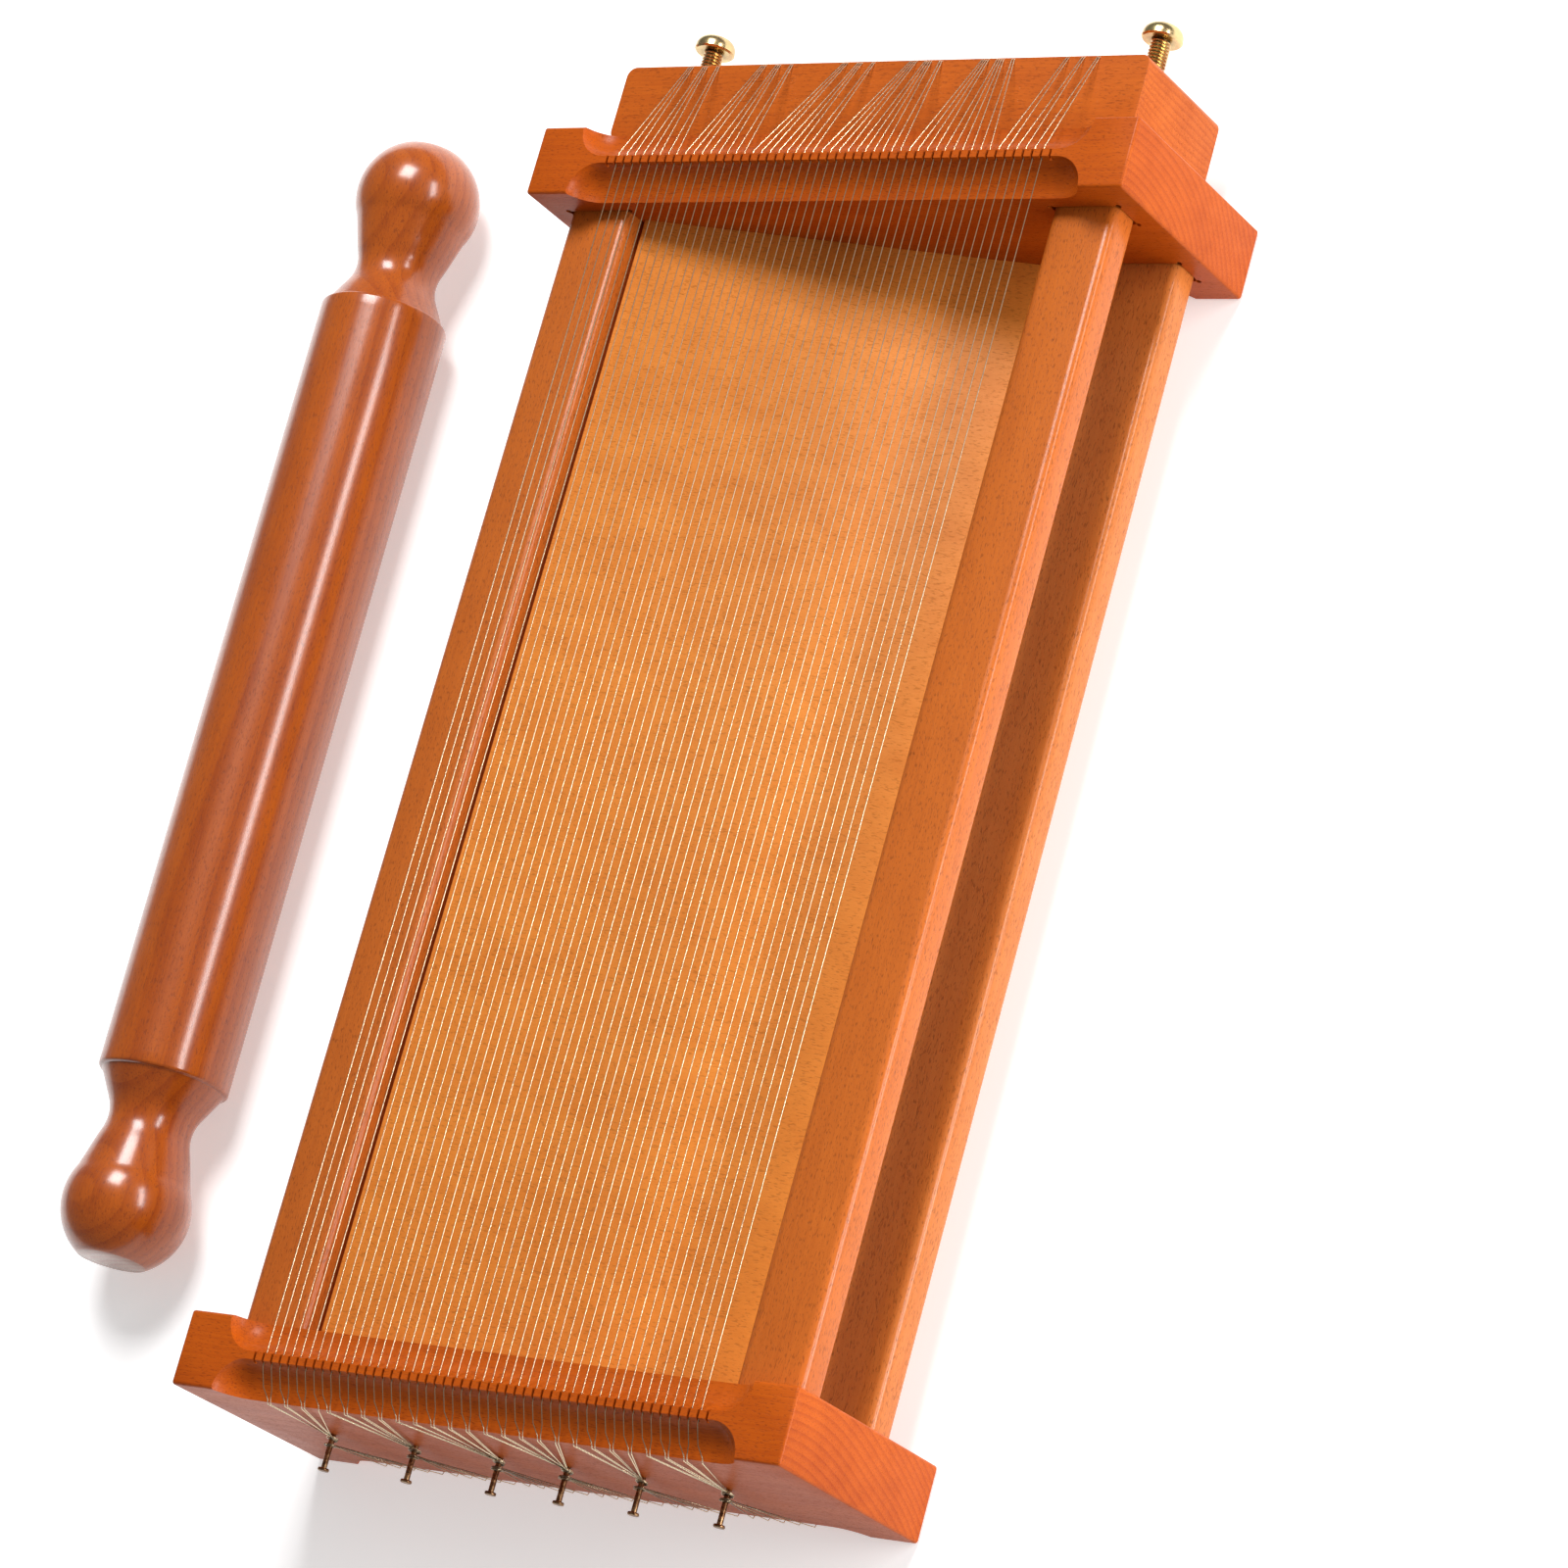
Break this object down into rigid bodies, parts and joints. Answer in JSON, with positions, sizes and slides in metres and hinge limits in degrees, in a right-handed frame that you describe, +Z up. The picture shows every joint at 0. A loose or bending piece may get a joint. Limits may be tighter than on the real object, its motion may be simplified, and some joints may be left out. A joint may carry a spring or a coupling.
{
  "type": "wire pasta cutter",
  "caption": "Double-sided wire-strung wooden pasta cutter with a slanting slide board, jack-screw tension bar and ball-ended rolling pin.",
  "frame": {"origin": "bottom centre of the box round the cutter and the pin that lies beside it, on the surface that both rest on", "axes": "+Y along the wires towards the tension bar, +Z up, +X from the pin towards the cutter"},
  "size_m": [0.3016, 0.4316, 0.0686],
  "materials": {
    "stained_beech": "orange-brown stained beech, satin lacquer",
    "pale_beech": "lighter orange stained beech board, satin",
    "lacquered_beech": "red-brown stained beech, glossy lacquer",
    "string_wire": "bright twisted steel wire",
    "plain_steel": "turned steel",
    "bronzed_steel": "dark bronzed nail",
    "yellow_zinc": "yellow zinc-plated steel, shiny"
  },
  "bodies": {
    "frame": {"nail_end_block": "stained_beech", "tension_end_block": "stained_beech", "upper_rail_left": "stained_beech", "upper_rail_right": "stained_beech", "lower_rail_left": "stained_beech", "lower_rail_right": "stained_beech", "slide_board": "pale_beech", "bearing_disc_left": "plain_steel", "bearing_disc_right": "plain_steel", "anchor_nail_1": "bronzed_steel", "anchor_nail_2": "bronzed_steel", "anchor_nail_3": "bronzed_steel", "anchor_nail_4": "bronzed_steel", "anchor_nail_5": "bronzed_steel", "anchor_nail_6": "bronzed_steel", "top_strings_1": "string_wire", "top_strings_2": "string_wire", "top_strings_3": "string_wire", "top_strings_4": "string_wire", "top_strings_5": "string_wire", "top_strings_6": "string_wire", "bottom_strings_1": "string_wire", "bottom_strings_2": "string_wire", "bottom_strings_3": "string_wire", "bottom_strings_4": "string_wire", "bottom_strings_5": "string_wire", "bottom_strings_6": "string_wire"},
    "tension_bar": {"tension_bar": "stained_beech", "threaded_insert_left": "plain_steel", "threaded_insert_right": "plain_steel", "bar_nail_1": "bronzed_steel", "bar_nail_2": "bronzed_steel", "bar_nail_3": "bronzed_steel", "bar_nail_4": "bronzed_steel", "bar_nail_5": "bronzed_steel", "bar_nail_6": "bronzed_steel", "string_tails_1": "string_wire", "string_tails_2": "string_wire", "string_tails_3": "string_wire", "string_tails_4": "string_wire", "string_tails_5": "string_wire", "string_tails_6": "string_wire"},
    "screw_left": {"tension_screw_left": "yellow_zinc"},
    "screw_right": {"tension_screw_right": "yellow_zinc"},
    "rolling_pin": {"rolling_pin": "lacquered_beech"}
  },
  "joints": [
    {"name": "screw_left_turn", "type": "hinge", "parent": "frame", "child": "screw_left", "pos_m": [-0.02521, 0.19335, 0.0343], "axis": [0, -1, 0], "range_deg": [-360, 1440]},
    {"name": "screw_right_turn", "type": "hinge", "parent": "frame", "child": "screw_right", "pos_m": [0.12679, 0.19335, 0.0343], "axis": [0, -1, 0], "range_deg": [-360, 1440]},
    {"name": "tension_bar_slide", "type": "slide", "parent": "frame", "child": "tension_bar", "axis": [0, 1, 0], "range_m": [-0.001, 0.004], "deforming": ["string_tails_1", "string_tails_2", "string_tails_3", "string_tails_4", "string_tails_5", "string_tails_6"]},
    {"name": "rolling_pin_lift", "type": "slide", "parent": "frame", "child": "rolling_pin", "axis": [0, 0, 1], "range_m": [0, 0.15]}
  ],
  "couplings": [
    {"joint": "screw_left_turn", "follows": "tension_bar_slide", "rad_per_m": 6283.2},
    {"joint": "screw_right_turn", "follows": "tension_bar_slide", "rad_per_m": 6283.2}
  ]
}
